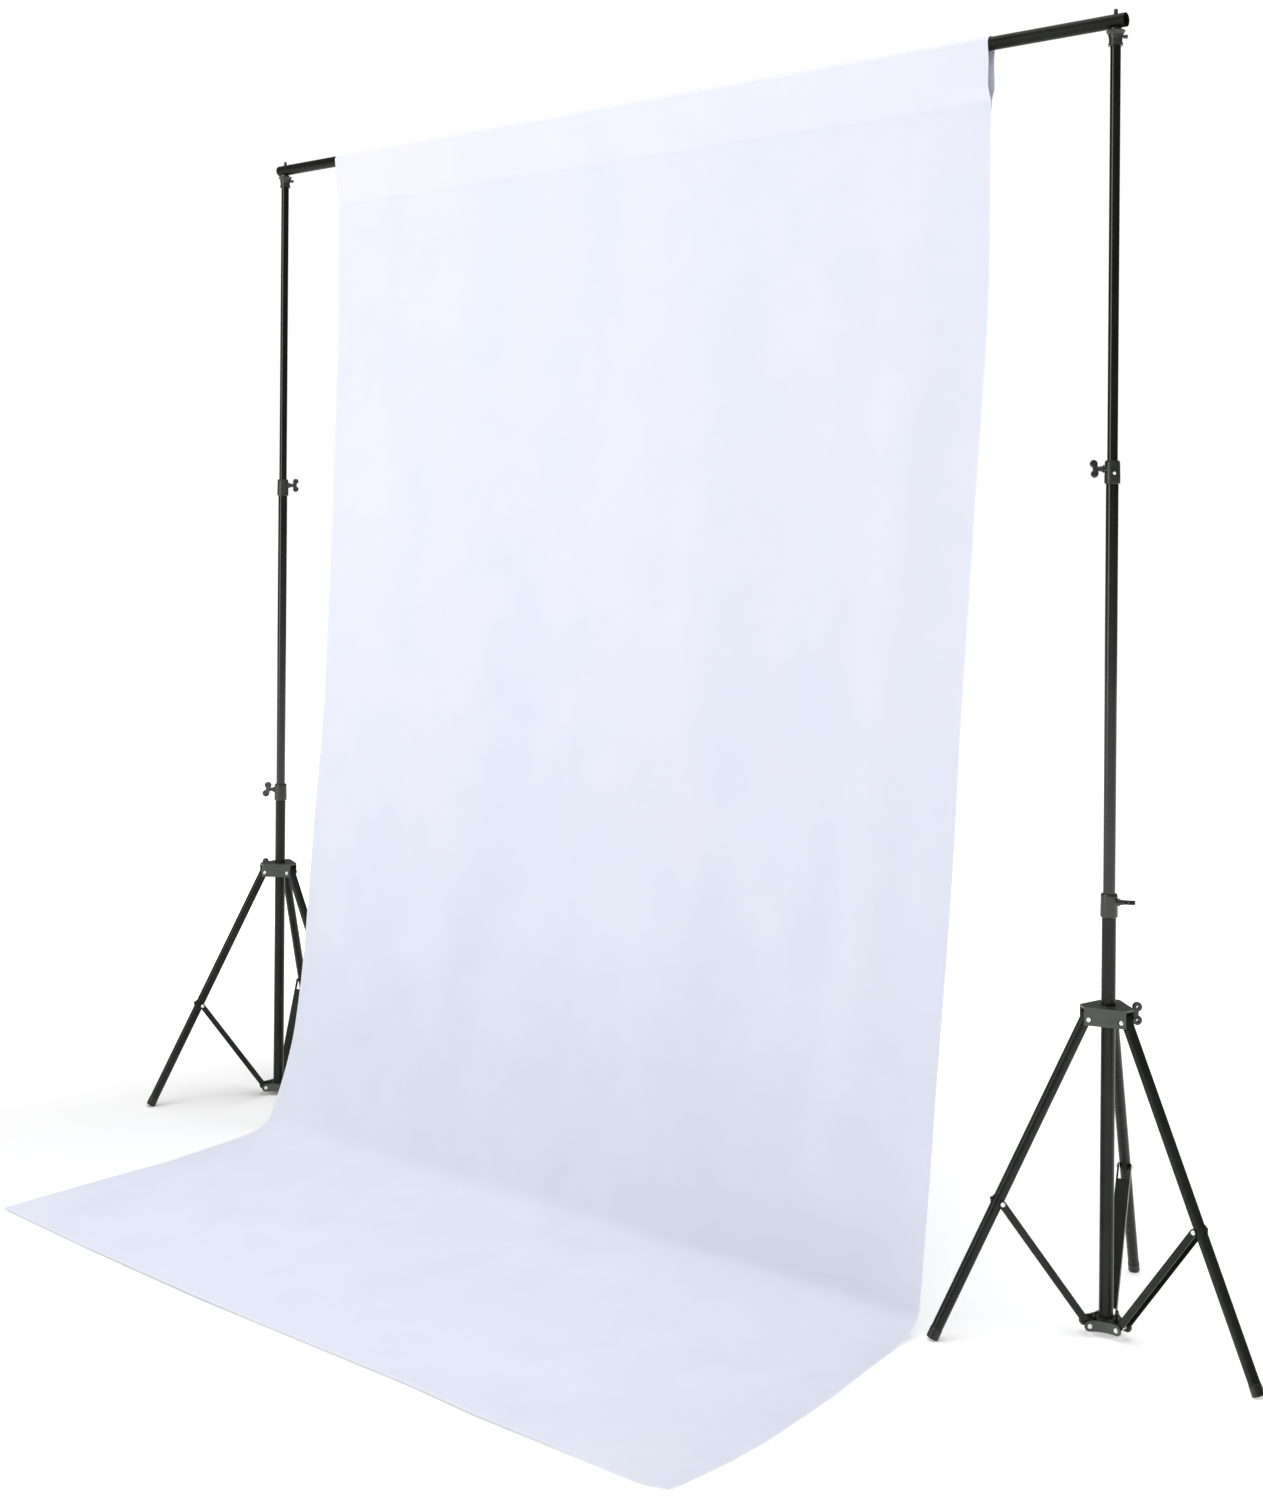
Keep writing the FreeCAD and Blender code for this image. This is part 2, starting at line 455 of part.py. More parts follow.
def backdrop():
    """White cloth with a stitched pocket round the crossbar."""
    left_end = cloth_outline(CLOTH_LEFT, LEFT_FALL, LEFT_FRONT_Y)
    right_end = cloth_outline(CLOTH_RIGHT, RIGHT_FALL, RIGHT_FRONT_Y)
    sheet = Part.makeLoft([left_end, right_end], True, True)
    tip = SEAM_Z + POCKET_TIP_RISE
    touch_y, touch_z = pocket_tangent(POCKET_RADIUS, BAR_AXIS_Z - tip)
    x0, x1 = CLOTH_LEFT - 1, CLOTH_RIGHT + 1
    left, right, point = V(x0, -touch_y, touch_z), V(x0, touch_y, touch_z), V(x0, 0, tip)
    over = Part.Arc(left, V(x0, 0, BAR_AXIS_Z + POCKET_RADIUS), right).toShape()
    hollow = Part.Wire([over, Part.makeLine(right, point), Part.makeLine(point, left)])
    return sheet.cut(Part.Face(hollow).extrude(V(x1 - x0, 0, 0)))


def build():
    nodes = {"crossbar_%d" % (i + 1): crossbar_section(i) for i in range(BAR_SECTIONS)}
    for side, facts in STANDS.items():
        nodes.update(stand(side, facts))
    nodes["backdrop"] = backdrop()
    return nodes


def main():
    nodes = build()
    box = Part.makeCompound(list(nodes.values())).optimalBoundingBox()
    shift = V(-box.Center.x, -box.Center.y, -box.ZMin)
    os.makedirs("parts", exist_ok=True)
    for name, shape in nodes.items():
        shape.translated(shift).exportStep("parts/%s.step" % name)


if __name__ == "__main__":
    main()
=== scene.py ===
import math

import bpy
import numpy as np
from mathutils import Matrix, Vector, noise


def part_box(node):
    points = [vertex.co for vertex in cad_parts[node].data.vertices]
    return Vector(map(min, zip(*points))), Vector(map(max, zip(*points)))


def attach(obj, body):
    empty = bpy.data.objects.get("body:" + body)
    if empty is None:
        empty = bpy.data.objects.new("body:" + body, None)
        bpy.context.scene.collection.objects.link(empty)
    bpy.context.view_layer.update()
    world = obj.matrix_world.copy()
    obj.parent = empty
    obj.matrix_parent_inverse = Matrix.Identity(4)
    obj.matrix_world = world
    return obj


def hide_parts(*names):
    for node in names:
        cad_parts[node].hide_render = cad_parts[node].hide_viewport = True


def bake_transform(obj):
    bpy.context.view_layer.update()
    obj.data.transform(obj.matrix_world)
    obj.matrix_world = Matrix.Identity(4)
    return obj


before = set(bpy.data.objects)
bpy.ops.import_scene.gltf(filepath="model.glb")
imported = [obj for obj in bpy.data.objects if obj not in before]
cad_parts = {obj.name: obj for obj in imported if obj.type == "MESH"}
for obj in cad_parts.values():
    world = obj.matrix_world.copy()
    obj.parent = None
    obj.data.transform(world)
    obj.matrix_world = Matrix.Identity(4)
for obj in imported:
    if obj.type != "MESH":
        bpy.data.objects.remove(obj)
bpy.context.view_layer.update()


def middle_x(node):
    low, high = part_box(node)
    return (low.x + high.x) / 2


first_low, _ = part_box("crossbar_1")
last_low, last_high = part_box("crossbar_4")
X0 = (first_low.x + last_high.x) / 2
Y0 = (last_low.y + last_high.y) / 2
BAR_Z = (last_low.z + last_high.z) / 2
BAR_R = (last_high.z - last_low.z) / 2
STAND_X = {side: middle_x(side + "_lower_tube") for side in ("left", "right")}

# Cloth: width on the bar, seam and hem of the pocket, then side profiles as (y, z) from the seam down.
CLOTH_LEFT, CLOTH_RIGHT = -0.806, 0.766
CLOTH_WIDTH = CLOTH_RIGHT - CLOTH_LEFT
SEAM_Z, HEM_DROP = 1.942, 0.010
POCKET_R = BAR_R + 0.0012
LEFT_FALL = [
    (0, 1.942), (0, 1.650), (-0.008, 1.450), (-0.015, 1.263), (-0.026, 1.010), (-0.045, 0.753),
    (-0.068, 0.502), (-0.100, 0.235), (-0.127, 0.125), (-0.160, 0.055), (-0.200, 0.014), (-0.240, 0.003),
]
RIGHT_FALL = [
    (0, 1.942), (-0.002, 1.650), (-0.018, 1.454), (-0.043, 1.260), (-0.064, 1.069), (-0.091, 0.786),
    (-0.113, 0.600), (-0.149, 0.325), (-0.179, 0.147), (-0.192, 0.072), (-0.213, 0.028), (-0.255, 0.003),
]
LEFT_FRONT_Y, RIGHT_FRONT_Y = -0.812, -0.834
FLOOR_RUN = (0.12, 0.35, 0.7, 1.0)
RUN_Z, LOWEST_Z = 0.0025, 0.0016

# Outline of the cloth from above: y of its front edge by x, and x of its side edges by y.
FRONT_EDGE = [
    (-0.79, -0.804), (-0.5, -0.820), (-0.2, -0.831), (0.3, -0.831), (0.43, -0.838), (0.73, -0.838),
    (0.80, -0.815),
]
LEFT_EDGE = [
    (-0.84, -0.788), (-0.60, -0.786), (-0.45, -0.779), (-0.255, -0.792), (-0.16, -0.804), (0.0, -0.806),
]
RIGHT_EDGE = [
    (-0.84, 0.770), (-0.80, 0.777), (-0.73, 0.786), (-0.65, 0.790), (-0.55, 0.787), (-0.46, 0.783),
    (-0.34, 0.772), (-0.25, 0.766), (0.0, 0.766),
]

# Cloth mesh: rows down the pocket and the panel, columns across with a narrow hem at each side.
POCKET_ROWS, FALL_ROWS, COLUMNS = 64, 330, 150
HEM_SHARE = 0.0024
ACROSS = [0.0] + list(np.linspace(HEM_SHARE, 1 - HEM_SHARE, COLUMNS - 1)) + [1.0]
SPLIT_Z = 1.0

# Relief of the cloth: heights of its waves, of the upright pleat near the right edge and of the puckers.
WAVE_HEIGHT, SOFT_HEIGHT, PLEAT_HEIGHT = 0.0045, 0.0018, 0.006
PUCKER_HEIGHT, RIPPLE_HEIGHT = 0.0021, 0.0016
PLEAT_CREST, PLEAT_VALLEY = (0.66, 0.035), (0.58, 0.03)
FLOOR_LIFT, FRONT_LIFT, OPEN_END = 0.0022, 0.004, 0.006

# Small pieces: thread stitches, the part of a rivet head that is bright, and the collar's bolt.
STITCH_LENGTH, STITCH_PITCH, THREAD_R, STITCH_PROUD = 0.0032, 0.0042, 0.0004, 0.0006
STITCH_WANDER, FIRST_STITCH, LAST_STITCH = 0.0012, 0.004, 0.007
RIVET_PROUD = 0.0015
BOLT_BELOW_COLLAR_TOP, BOLT_OUT, BOLT_RADIUS, BOLT_HEIGHT = 0.020, 0.0128, 0.0026, 0.0022

# Camera: its place from the right pole's axis, in x and y, and its height over the floor.
CAMERA_FROM_RIGHT_POLE = (1.3043, -2.7550)
CAMERA_HEIGHT = 1.2228
CAMERA_YAW, CAMERA_ROLL = 0.68929, 0.007617
CAMERA_LENS, CAMERA_SHIFT_Y, SENSOR_WIDTH = 45.696, -0.139, 36.0


# ---------------------------------------------------------------- node helpers
def new_material(name):
    material = bpy.data.materials.new(name)
    material.use_nodes = True
    tree = material.node_tree
    tree.nodes.clear()
    output = tree.nodes.new("ShaderNodeOutputMaterial")
    shader = tree.nodes.new("ShaderNodeBsdfPrincipled")
    tree.links.new(shader.outputs["BSDF"], output.inputs["Surface"])
    return material, tree, shader


def object_coordinates(tree):
    return tree.nodes.new("ShaderNodeTexCoord").outputs["Object"]


def noise_node(tree, scale, detail=4.0, stretch=(1, 1, 1)):
    """Strength of a noise in object coordinates."""
    mapping = tree.nodes.new("ShaderNodeMapping")
    mapping.inputs["Scale"].default_value = stretch
    tree.links.new(object_coordinates(tree), mapping.inputs["Vector"])
    texture = tree.nodes.new("ShaderNodeTexNoise")
    texture.inputs["Scale"].default_value = scale
    texture.inputs["Detail"].default_value = detail
    tree.links.new(mapping.outputs["Vector"], texture.inputs["Vector"])
    return texture.outputs["Fac"]


def ramp(tree, source, low, high, out_low=0, out_high=1):
    node = tree.nodes.new("ShaderNodeMapRange")
    node.inputs["From Min"].default_value = low
    node.inputs["From Max"].default_value = high
    node.inputs["To Min"].default_value = out_low
    node.inputs["To Max"].default_value = out_high
    tree.links.new(source, node.inputs["Value"])
    return node.outputs["Result"]


def add(tree, first, second):
    node = tree.nodes.new("ShaderNodeMath")
    node.operation = "ADD"
    tree.links.new(first, node.inputs[0])
    tree.links.new(second, node.inputs[1])
    return node.outputs["Value"]


def color_between(tree, shader, factor, first, second):
    """Base colour that runs between two tones."""
    node = tree.nodes.new("ShaderNodeMix")
    node.data_type = "RGBA"
    node.inputs["A"].default_value = (*first, 1)
    node.inputs["B"].default_value = (*second, 1)
    tree.links.new(factor, node.inputs["Factor"])
    tree.links.new(node.outputs["Result"], shader.inputs["Base Color"])


def bump(tree, shader, height, strength, distance):
    node = tree.nodes.new("ShaderNodeBump")
    node.inputs["Strength"].default_value = strength
    node.inputs["Distance"].default_value = distance
    tree.links.new(height, node.inputs["Height"])
    tree.links.new(node.outputs["Normal"], shader.inputs["Normal"])


# ---------------------------------------------------------------- materials
def worn_material(name, dark, light, rough, metallic=0.0, coat=0.0, shine=0.5,
                  grain=900.0, grain_height=0.00004, stretch=(1, 1, 1)):
    """Paint or moulding with faint blotches, handling wear and a fine grain."""
    material, tree, shader = new_material(name)
    shader.inputs["Metallic"].default_value = metallic
    shader.inputs["Coat Weight"].default_value = coat
    shader.inputs["Specular IOR Level"].default_value = shine
    shader.inputs["Coat Roughness"].default_value = 0.18
    blotch = noise_node(tree, 14.0, 5.0)
    color_between(tree, shader, ramp(tree, blotch, 0.35, 0.7), dark, light)
    wear = noise_node(tree, 60.0, 6.0, stretch)
    tree.links.new(ramp(tree, wear, 0.3, 0.75, *rough), shader.inputs["Roughness"])
    bump(tree, shader, noise_node(tree, grain, 2.0, stretch), 0.35, grain_height)
    return material


def drawn_paint(name, dark, light, rough, shine, stretch):
    """Black paint on a drawn tube, with its grain along the tube."""
    return worn_material(name, dark, light, rough, shine=shine,
                         grain=700.0, grain_height=0.00002, stretch=stretch)


def cloth_material(name, dark, light):
    """Non-woven white cloth: soft mottle, faint upright bands and a fine embossed grain."""
    material, tree, shader = new_material(name)
    shader.inputs["Roughness"].default_value = 0.85
    shader.inputs["Sheen Weight"].default_value = 0.15
    shader.inputs["Specular IOR Level"].default_value = 0.25
    mottle = noise_node(tree, 9.0, 5.0)
    bands = noise_node(tree, 6.5, 2.0, (1, 1, 0.14))
    color_between(tree, shader, ramp(tree, add(tree, mottle, bands), 0.75, 1.25), dark, light)
    fibres = noise_node(tree, 420.0, 3.0)
    weave = tree.nodes.new("ShaderNodeTexVoronoi")
    weave.inputs["Scale"].default_value = 520.0
    tree.links.new(object_coordinates(tree), weave.inputs["Vector"])
    bump(tree, shader, add(tree, fibres, weave.outputs["Distance"]), 0.25, 0.00012)
    return material


def thread_material():
    material, tree, shader = new_material("thread")
    shader.inputs["Roughness"].default_value = 0.6
    twist = ramp(tree, noise_node(tree, 1500.0, 1.0), 0.3, 0.7)
    color_between(tree, shader, twist, (0.86, 0.88, 0.95), (0.95, 0.96, 0.99))
    return material


UPRIGHT, ALONG_BAR = (1, 1, 0.1), (0.1, 1, 1)
tube_paint = drawn_paint(
    "tube_paint", (0.0035, 0.0042, 0.0028), (0.007, 0.0082, 0.0056), (0.16, 0.24), 0.6, UPRIGHT)
# Legs and lower tubes: a copy of the same black paint as tube_paint, with a lighter base and less shine.
# Low down it shows less of the white floor's reflection, so this is a painted change of reflection and not
# a different finish.
low_paint_dim_reflection = drawn_paint(
    "low_paint_dim_reflection", (0.012, 0.0135, 0.0095), (0.020, 0.022, 0.0165), (0.22, 0.32), 0.22, UPRIGHT)
bar_paint = drawn_paint(
    "bar_paint", (0.006, 0.007, 0.005), (0.011, 0.0125, 0.009), (0.38, 0.52), 0.15, ALONG_BAR)
# Struts: the same black paint again, with a lighter base and little shine like the legs, so they show less
# of the white floor's reflection; a painted change of reflection.
strut_paint_dim_reflection = worn_material(
    "strut_paint_dim_reflection", (0.010, 0.012, 0.008), (0.020, 0.0225, 0.0165), (0.26, 0.42), shine=0.25)
casting_paint = worn_material(
    "casting_paint", (0.040, 0.044, 0.034), (0.070, 0.076, 0.058), (0.24, 0.40),
    metallic=0.1, coat=0.25, grain=500.0, grain_height=0.00010)
moulding = worn_material(
    "collar_moulding", (0.018, 0.020, 0.016), (0.034, 0.037, 0.030), (0.26, 0.42),
    coat=0.2, grain=800.0, grain_height=0.00005)
knob_moulding = worn_material(
    "knob_moulding", (0.008, 0.009, 0.008), (0.018, 0.019, 0.016), (0.35, 0.5),
    coat=0.2, grain=800.0, grain_height=0.00005)
rubber = worn_material(
    "foot_rubber", (0.006, 0.007, 0.005), (0.012, 0.013, 0.010), (0.35, 0.5), grain_height=0.00008)
zinc = worn_material(
    "zinc_plate", (0.93, 0.93, 0.92), (0.98, 0.98, 0.97), (0.30, 0.42),
    metallic=0.30, grain=600.0, grain_height=0.00003)
steel = worn_material(
    "dull_steel", (0.10, 0.10, 0.10), (0.20, 0.20, 0.19), (0.25, 0.38),
    metallic=0.9, grain=600.0, grain_height=0.00003)
cloth_white = cloth_material("white_cloth", (0.79, 0.811, 0.915), (0.825, 0.846, 0.942))
cloth_double = cloth_material("white_cloth_double", (0.815, 0.835, 0.93), (0.84, 0.86, 0.95))

# The first word that is in a node's name gives its finish; the other tubes have tube_paint.
FINISHES = [
    ("crossbar", bar_paint), ("_rivets", zinc), ("_stud", steel), ("knob", knob_moulding),
    ("screw", knob_moulding), ("bush", rubber), ("foot", rubber), ("clamp", moulding), ("_head", moulding),
    ("_hub", casting_paint), ("spider", casting_paint), ("strut", strut_paint_dim_reflection), ("_leg_", low_paint_dim_reflection),
    ("lower_tube", low_paint_dim_reflection), ("backdrop", cloth_white),
]


def finish_of(node):
    return next((material for word, material in FINISHES if word in node), tube_paint)


def brighten_strut_rivets(mesh, pole_x):
    """Zinc finish on the two rivet heads at the strut's upper end, which stand out from its side walls."""
    points = np.empty(len(mesh.vertices) * 3)
    mesh.vertices.foreach_get("co", points)
    points = points.reshape(-1, 3) - np.array([pole_x, Y0, 0.0])
    outward = points.mean(axis=0)
    across = np.array([-outward[1], outward[0], 0.0]) / math.hypot(outward[0], outward[1])
    sideways = points @ across
    middle = (sideways.max() + sideways.min()) / 2
    reach = (sideways.max() - sideways.min()) / 2
    proud = np.abs(sideways - middle) > reach - RIVET_PROUD
    mesh.materials.append(zinc)
    for face in mesh.polygons:
        if any(proud[v] for v in face.vertices):
            face.material_index = 1


nodes = {o.name: o for o in bpy.data.objects if o.type == "MESH"}
for name, node in nodes.items():
    node.data.materials.clear()
    node.data.materials.append(finish_of(name))
for side, pole_x in STAND_X.items():
    for number in (1, 2, 3):
        brighten_strut_rivets(nodes["%s_strut_%d" % (side, number)].data, pole_x)


# ---------------------------------------------------------------- cloth
def smooth_path(points, steps=24):
    """Dense points on a Catmull-Rom curve through the given (y, z) points."""
    padded = [tuple(2 * a - b for a, b in zip(points[0], points[1]))] + list(points)
    padded.append(tuple(2 * a - b for a, b in zip(points[-1], points[-2])))
    out = []
    for i in range(1, len(padded) - 2):
        p0, p1, p2, p3 = (np.array(p, float) for p in padded[i - 1:i + 3])
        for k in range(steps):
            t = k / steps
            out.append(0.5 * (2 * p1 + (p2 - p0) * t + (2 * p0 - 5 * p1 + 4 * p2 - p3) * t * t
                              + (3 * p1 - p0 - 3 * p2 + p3) * t ** 3))
    out.append(np.array(points[-1], float))
    return np.array(out)


def evenly(path, count):
    """The same path as count + 1 points at equal spacing, and its length."""
    step = np.linalg.norm(np.diff(path, axis=0), axis=1)
    along = np.concatenate([[0], np.cumsum(step)])
    at = np.linspace(0, along[-1], count + 1)
    return np.stack([np.interp(at, along, path[:, k]) for k in range(2)], 1), along[-1]


def pocket_path(arc_steps=24):
    """(y, z) of the pocket: up from the hem behind, over the bar and down to the seam in front."""
    slope = math.acos(POCKET_R / (BAR_Z - SEAM_Z))
    start = -math.pi / 2 + slope
    points = [(0.0025, SEAM_Z - HEM_DROP), (0.0018, SEAM_Z)]
    for i in range(arc_steps + 1):
        angle = start + (math.pi - 2 * start) * i / arc_steps
        points.append((POCKET_R * math.cos(angle), BAR_Z + POCKET_R * math.sin(angle)))
    points.append((0.0, SEAM_Z))
    return np.array(points)


def fall_path(fall, front_y):
    """Side profile from the seam to the front edge, with its run on the floor."""
    last_y = fall[-1][0]
    run = [(last_y + (front_y - last_y) * t, RUN_Z) for t in FLOOR_RUN]
    return evenly(smooth_path(fall[:-1] + run), FALL_ROWS)


pocket, pocket_length = evenly(pocket_path(), POCKET_ROWS)
left_fall, left_length = fall_path(LEFT_FALL, LEFT_FRONT_Y)
right_fall, right_length = fall_path(RIGHT_FALL, RIGHT_FRONT_Y)


def smoothstep(a, b, x):
    t = min(max((x - a) / (b - a), 0.0), 1.0)
    return t * t * (3 - 2 * t)


def interp(at, table):
    return float(np.interp(at, [p[0] for p in table], [p[1] for p in table]))


def swell(x, y, z):
    return noise.noise(Vector((x, y, z)))


def hump(at, middle, width):
    return math.exp(-((at - middle) / width) ** 2)


def pocket_point(r, u):
    """Point of the pocket at row r: tight over the bar, loose below it and open at its right end."""
    x = CLOTH_LEFT + CLOTH_WIDTH * u
    y, z = pocket[r]
    below = BAR_Z - z
    loose = smoothstep(0.02, 0.07, below)
    side = 1 if r < POCKET_ROWS * 0.5 else -1
    y += loose * RIPPLE_HEIGHT * swell(x * 16, 3.1 * side, z * 9)
    y += OPEN_END * side * loose * (1 - smoothstep(0.07, 0.094, below)) * smoothstep(0.93, 1.0, u)
    return x, y, z


def on_fall(k, u):
    k = min(k, FALL_ROWS)
    return left_fall[k] * (1 - u) + right_fall[k] * u


def panel_bulge(x, down, hang):
    """How far the hanging panel stands out of its smooth profile."""
    lean = x + 0.10 * down
    folds = math.sin(lean * 9.0 + 0.6) + 0.5 * math.sin(lean * 21.0 + 2.0)
    folds += 0.35 * swell(lean * 6, 0.7, down * 3)
    bulge = WAVE_HEIGHT * hang * folds
    bulge += PLEAT_HEIGHT * hang * (hump(lean, *PLEAT_CREST) - hump(lean, *PLEAT_VALLEY))
    gather = (1 - smoothstep(0.0, 0.03, down)) * smoothstep(0.0, 0.004, down)
    bulge += PUCKER_HEIGHT * gather * swell(x * 45, 1.3, down * 60)
    return bulge + SOFT_HEIGHT * hang * swell(x * 5, 4.4, down * 8)


def floor_height(x, y, down):
    """Height of the cloth where it lies on the floor, with low swells and a lifted front edge."""
    lift = LOWEST_Z + FLOOR_LIFT * max(0.0, swell(x * 3.2, y * 4.0, 7.7))
    return lift + FRONT_LIFT * smoothstep(0.9, 1.0, down) * max(0.0, swell(x * 4, 9.1, 0.3))


def edge_wander(u, down, hang):
    """Sideways wander of the panel's edges, less at the right one."""
    wave = math.sin(down * 26.0) * 0.0015 + 0.0035 * swell(down * 9, 2.2, u * 2)
    side = 0.6 if u > 0.5 else -1
    return wave * hang * side * abs(2 * u - 1) ** 3


def panel_point(k, u):
    """Point k rows below the seam. hang is 1 where the panel hangs free, and lying is 1 on the floor."""
    down = k / FALL_ROWS
    along = on_fall(k + 1, u) - on_fall(k - 1, u)
    along /= np.linalg.norm(along)
    y, z = on_fall(k, u)
    low_x, high_x = interp(y, LEFT_EDGE), interp(y, RIGHT_EDGE)
    x = low_x + (high_x - low_x) * u
    hang = smoothstep(0.0, 0.35, down) * (1 - smoothstep(0.60, 0.74, down))
    bulge = panel_bulge(x, down, hang)
    y, z = y + along[1] * bulge, z - along[0] * bulge
    lying = smoothstep(0.72, 0.80, down)
    z += lying * (floor_height(x, y, down) - z)
    x += edge_wander(u, down, hang)
    straight_front = LEFT_FRONT_Y * (1 - u) + RIGHT_FRONT_Y * u
    y += smoothstep(0.74, 1.0, down) * (interp(x, FRONT_EDGE) - straight_front)
    return x, y, max(z, LOWEST_Z)


def add_mesh(name, points, faces, smooth, materials):
    mesh = bpy.data.meshes.new(name)
    mesh.from_pydata(points, [], faces)
    mesh.polygons.foreach_set("use_smooth", [smooth] * len(mesh.polygons))
    for material in materials:
        mesh.materials.append(material)
    mesh.update()
    piece = bpy.data.objects.new(name, mesh)
    bpy.context.scene.collection.objects.link(piece)
    return piece


def cloth_piece(name, rows, first_row):
    """Mesh of the given rows, with the double-layer finish on the pocket and the hems."""
    points = [(X0 + x, Y0 + y, z) for row in rows for x, y, z in row]
    faces, double = [], []
    for r in range(len(rows) - 1):
        for c in range(COLUMNS):
            a = r * (COLUMNS + 1) + c
            faces.append((a, a + COLUMNS + 1, a + COLUMNS + 2, a + 1))
            hem = c in (0, COLUMNS - 1) or r + first_row >= POCKET_ROWS + FALL_ROWS - 1
            double.append(int(hem or r + first_row < POCKET_ROWS))
    piece = add_mesh(name, points, faces, True, [cloth_white, cloth_double])
    piece.data.polygons.foreach_set("material_index", double)
    return piece


rows = [[pocket_point(r, u) for u in ACROSS] for r in range(POCKET_ROWS + 1)]
rows += [[panel_point(k, u) for u in ACROSS] for k in range(1, FALL_ROWS + 1)]
split = next(r for r, row in enumerate(rows) if r > POCKET_ROWS and row[COLUMNS // 2][2] < SPLIT_Z)
cloth_upper = cloth_piece("cloth_upper", rows[:split + 1], 0)
cloth_lower = cloth_piece("cloth_lower", rows[split:], split)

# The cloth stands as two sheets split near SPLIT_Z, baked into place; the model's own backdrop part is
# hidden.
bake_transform(cloth_upper)
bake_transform(cloth_lower)
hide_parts("backdrop")
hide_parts("backdrop")


# ---------------------------------------------------------------- small pieces
def seam_at(x):
    """(y, z) of the seam's row at x."""
    at = float(np.interp((x - CLOTH_LEFT) / CLOTH_WIDTH, ACROSS, range(COLUMNS + 1)))
    c = min(int(at), COLUMNS - 1)
    row = rows[POCKET_ROWS]
    return row[c][1] + (row[c + 1][1] - row[c][1]) * (at - c), row[c][2]


def stitching(sides=6):
    """Short thread stitches along the pocket seam, lying on the cloth's front."""
    points, faces = [], []
    x = CLOTH_LEFT + FIRST_STITCH
    while x < CLOTH_RIGHT - LAST_STITCH:
        low = len(points)
        for end_x in (x, x + STITCH_LENGTH):
            y, z = seam_at(end_x)
            y, z = Y0 + y - STITCH_PROUD, z + STITCH_WANDER * math.sin(end_x * 30)
            for k in range(sides):
                angle = k * 2 * math.pi / sides
                points.append((X0 + end_x, y + THREAD_R * math.cos(angle), z + THREAD_R * math.sin(angle)))
        for k in range(sides):
            after = (k + 1) % sides
            faces.append((low + k, low + after, low + sides + after, low + sides + k))
        faces.append(tuple(low + k for k in reversed(range(sides))))
        faces.append(tuple(low + sides + k for k in range(sides)))
        x += STITCH_PITCH
    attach(add_mesh("seam_stitches", points, faces, False, [thread_material()]), "beam")


def dome(centre, axis, radius, height, rings=5, around=20):
    """Points and faces of a low round head, its flat back at the centre and its top along the axis."""
    across = axis.orthogonal().normalized()
    other = axis.cross(across)
    points, faces = [], []
    for r in range(rings):
        rise = math.pi / 2 * r / rings
        for k in range(around):
            angle = 2 * math.pi * k / around
            out = radius * math.cos(rise) * (across * math.cos(angle) + other * math.sin(angle))
            points.append(centre + out + axis * (height * math.sin(rise)))
    top, bottom, last_ring = len(points), len(points) + 1, (rings - 1) * around
    points += [centre + axis * height, centre]
    for k in range(around):
        after = (k + 1) % around
        for low in range(0, last_ring, around):
            faces.append((low + k, low + after, low + around + after, low + around + k))
        faces.append((last_ring + k, last_ring + after, top))
        faces.append((after, k, bottom))
    return points, faces


def collar_bolt():
    """Bright pivot bolt on the front of the right stand's upper collar."""
    _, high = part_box("right_middle_clamp")
    toward = Vector((math.sin(CAMERA_YAW), -math.cos(CAMERA_YAW), 0))
    centre = Vector((STAND_X["right"], Y0, high.z - BOLT_BELOW_COLLAR_TOP)) + toward * BOLT_OUT
    points, faces = dome(centre, toward, BOLT_RADIUS, BOLT_HEIGHT)
    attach(add_mesh("right_collar_bolt", points, faces, True, [zinc]), "right_middle")


stitching()
collar_bolt()


# ---------------------------------------------------------------- stage, light and camera
def floor_material():
    """Pale floor that glows with distance from a spot before the cloth, and so runs out into the white."""
    material, tree, shader = new_material("studio_floor")
    shader.inputs["Roughness"].default_value = 0.9
    shader.inputs["Specular IOR Level"].default_value = 0.1
    cloud = ramp(tree, noise_node(tree, 0.6, 2.0), 0.3, 0.7)
    color_between(tree, shader, cloud, (0.94, 0.94, 0.94), (0.96, 0.96, 0.96))
    mapping = tree.nodes.new("ShaderNodeMapping")
    mapping.inputs["Location"].default_value = (0.5 - X0, 0.6 * (1.3 - Y0), 0)
    mapping.inputs["Scale"].default_value = (1.0, 0.6, 1.0)
    tree.links.new(object_coordinates(tree), mapping.inputs["Vector"])
    distance = tree.nodes.new("ShaderNodeVectorMath")
    distance.operation = "LENGTH"
    tree.links.new(mapping.outputs["Vector"], distance.inputs[0])
    shader.inputs["Emission Color"].default_value = (1, 1, 1, 1)
    glow = ramp(tree, distance.outputs["Value"], 0.9, 2.6, 0.12, 0.9)
    tree.links.new(glow, shader.inputs["Emission Strength"])
    return material


def stage_plane(half=14):
    corners = [(-half, -half, 0), (half, -half, 0), (half, half, 0), (-half, half, 0)]
    add_mesh("floor", corners, [(0, 1, 2, 3)], False, [floor_material()])


def area_light(name, place, target, width, height, power):
    data = bpy.data.lights.new(name, "AREA")
    data.shape = "RECTANGLE"
    data.size = width
    data.size_y = height
    data.energy = power
    light = bpy.data.objects.new(name, data)
    bpy.context.scene.collection.objects.link(light)
    light.location = place
    light.rotation_euler = (Vector(target) - Vector(place)).to_track_quat("-Z", "Y").to_euler()


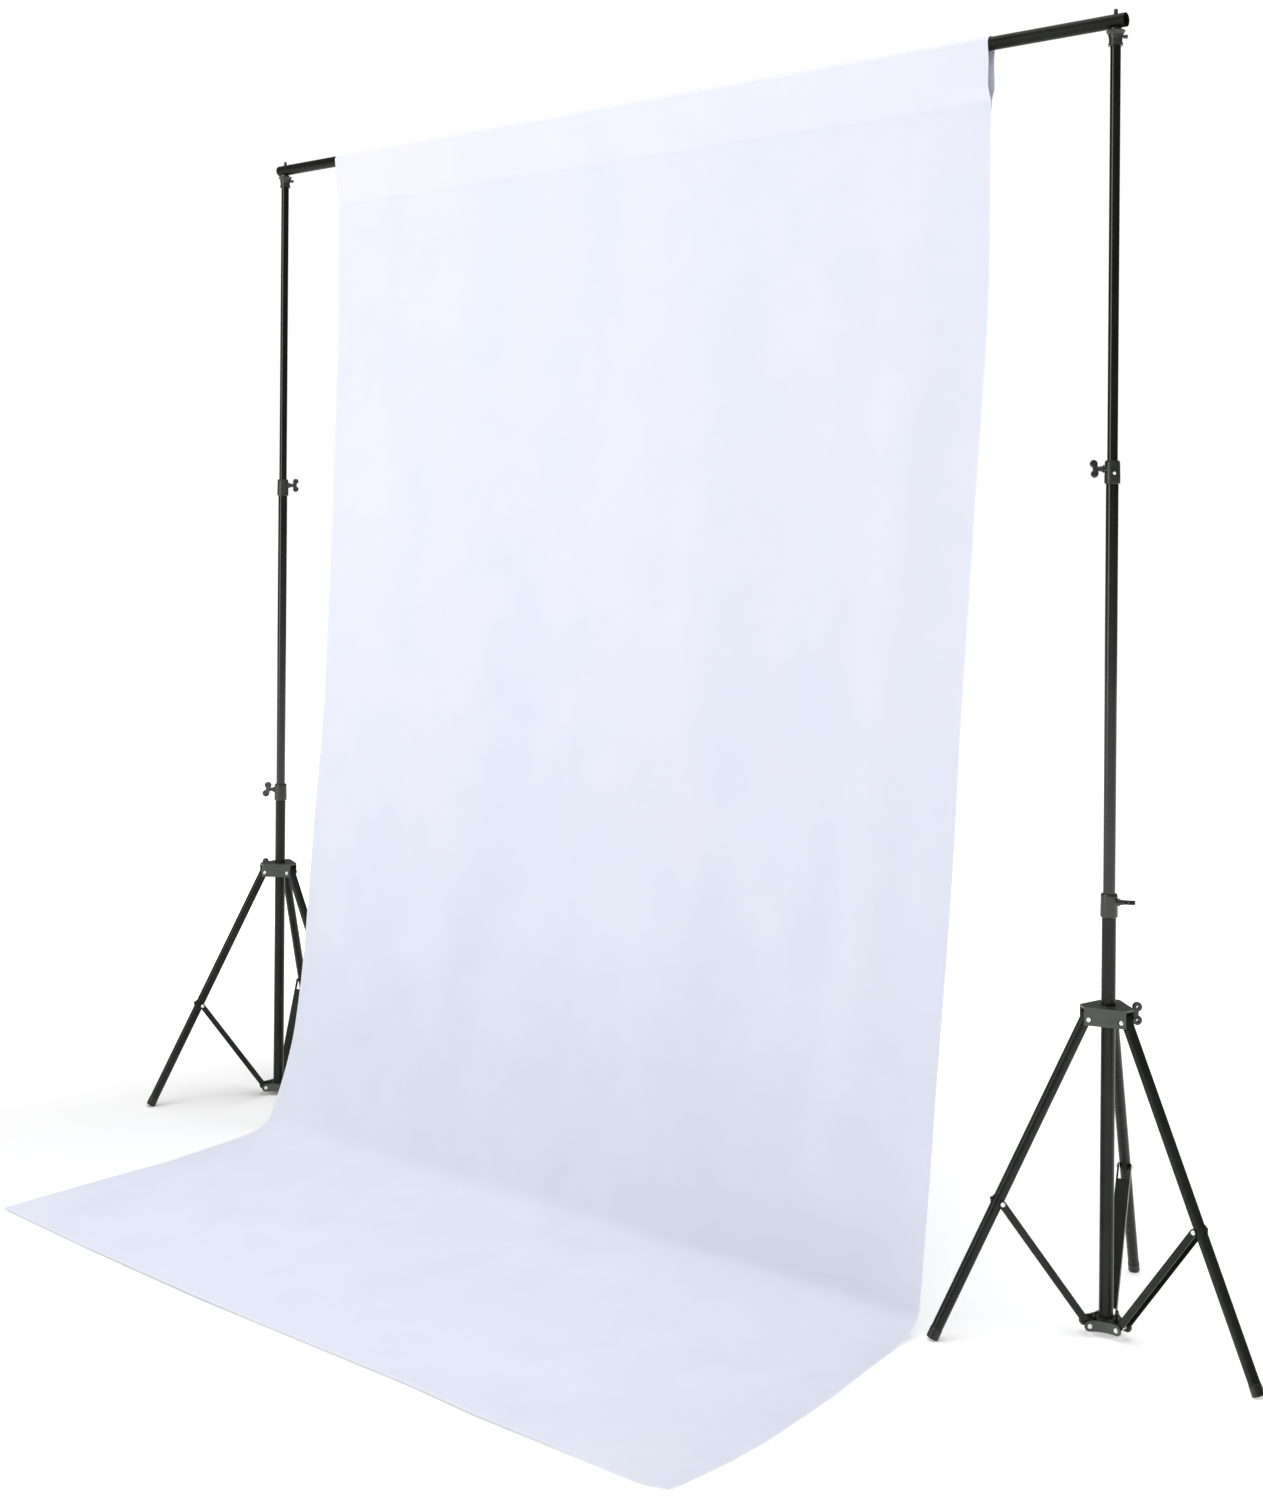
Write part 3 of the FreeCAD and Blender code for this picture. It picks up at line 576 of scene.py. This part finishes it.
def background(tree, strength):
    node = tree.nodes.new("ShaderNodeBackground")
    node.inputs["Color"].default_value = (1, 1, 1, 1)
    node.inputs["Strength"].default_value = strength
    return node.outputs["Background"]


def world_light(strength):
    """White behind everything, and a much dimmer white room for light and reflections."""
    bpy.context.scene.view_settings.view_transform = "Standard"
    world = bpy.data.worlds.new("studio")
    bpy.context.scene.world = world
    world.use_nodes = True
    tree = world.node_tree
    tree.nodes.clear()
    path = tree.nodes.new("ShaderNodeLightPath")
    blend = tree.nodes.new("ShaderNodeMixShader")
    output = tree.nodes.new("ShaderNodeOutputWorld")
    tree.links.new(path.outputs["Is Camera Ray"], blend.inputs["Fac"])
    tree.links.new(background(tree, strength), blend.inputs[1])
    tree.links.new(background(tree, 1.0), blend.inputs[2])
    tree.links.new(blend.outputs["Shader"], output.inputs["Surface"])


def add_camera():
    data = bpy.data.cameras.new("camera")
    data.sensor_fit = "AUTO"
    data.sensor_width = SENSOR_WIDTH
    data.lens = CAMERA_LENS
    data.shift_y = CAMERA_SHIFT_Y
    data.clip_end = 60.0
    data.dof.use_dof = False
    camera = bpy.data.objects.new("camera", data)
    bpy.context.scene.collection.objects.link(camera)
    right = Vector((math.cos(CAMERA_YAW), math.sin(CAMERA_YAW), 0))
    back = Vector((math.sin(CAMERA_YAW), -math.cos(CAMERA_YAW), 0))
    level = Matrix((right, Vector((0, 0, 1)), back)).transposed()
    side_x, side_y = CAMERA_FROM_RIGHT_POLE
    place = Matrix.Translation((STAND_X["right"] + side_x, Y0 + side_y, CAMERA_HEIGHT))
    camera.matrix_world = place @ (level @ Matrix.Rotation(CAMERA_ROLL, 3, "Z")).to_4x4()
    bpy.context.scene.camera = camera


stage_plane()
world_light(0.10)
area_light("softbox", (X0 - 1.9, Y0 - 4.4, 1.95), (X0 - 0.1, Y0 - 0.1, 0.9), 2.4, 3.0, 71)
area_light("overhead", (X0, Y0 - 0.8, 8.0), (X0, Y0 - 0.6, 0.0), 10.0, 9.0, 635)
add_camera()
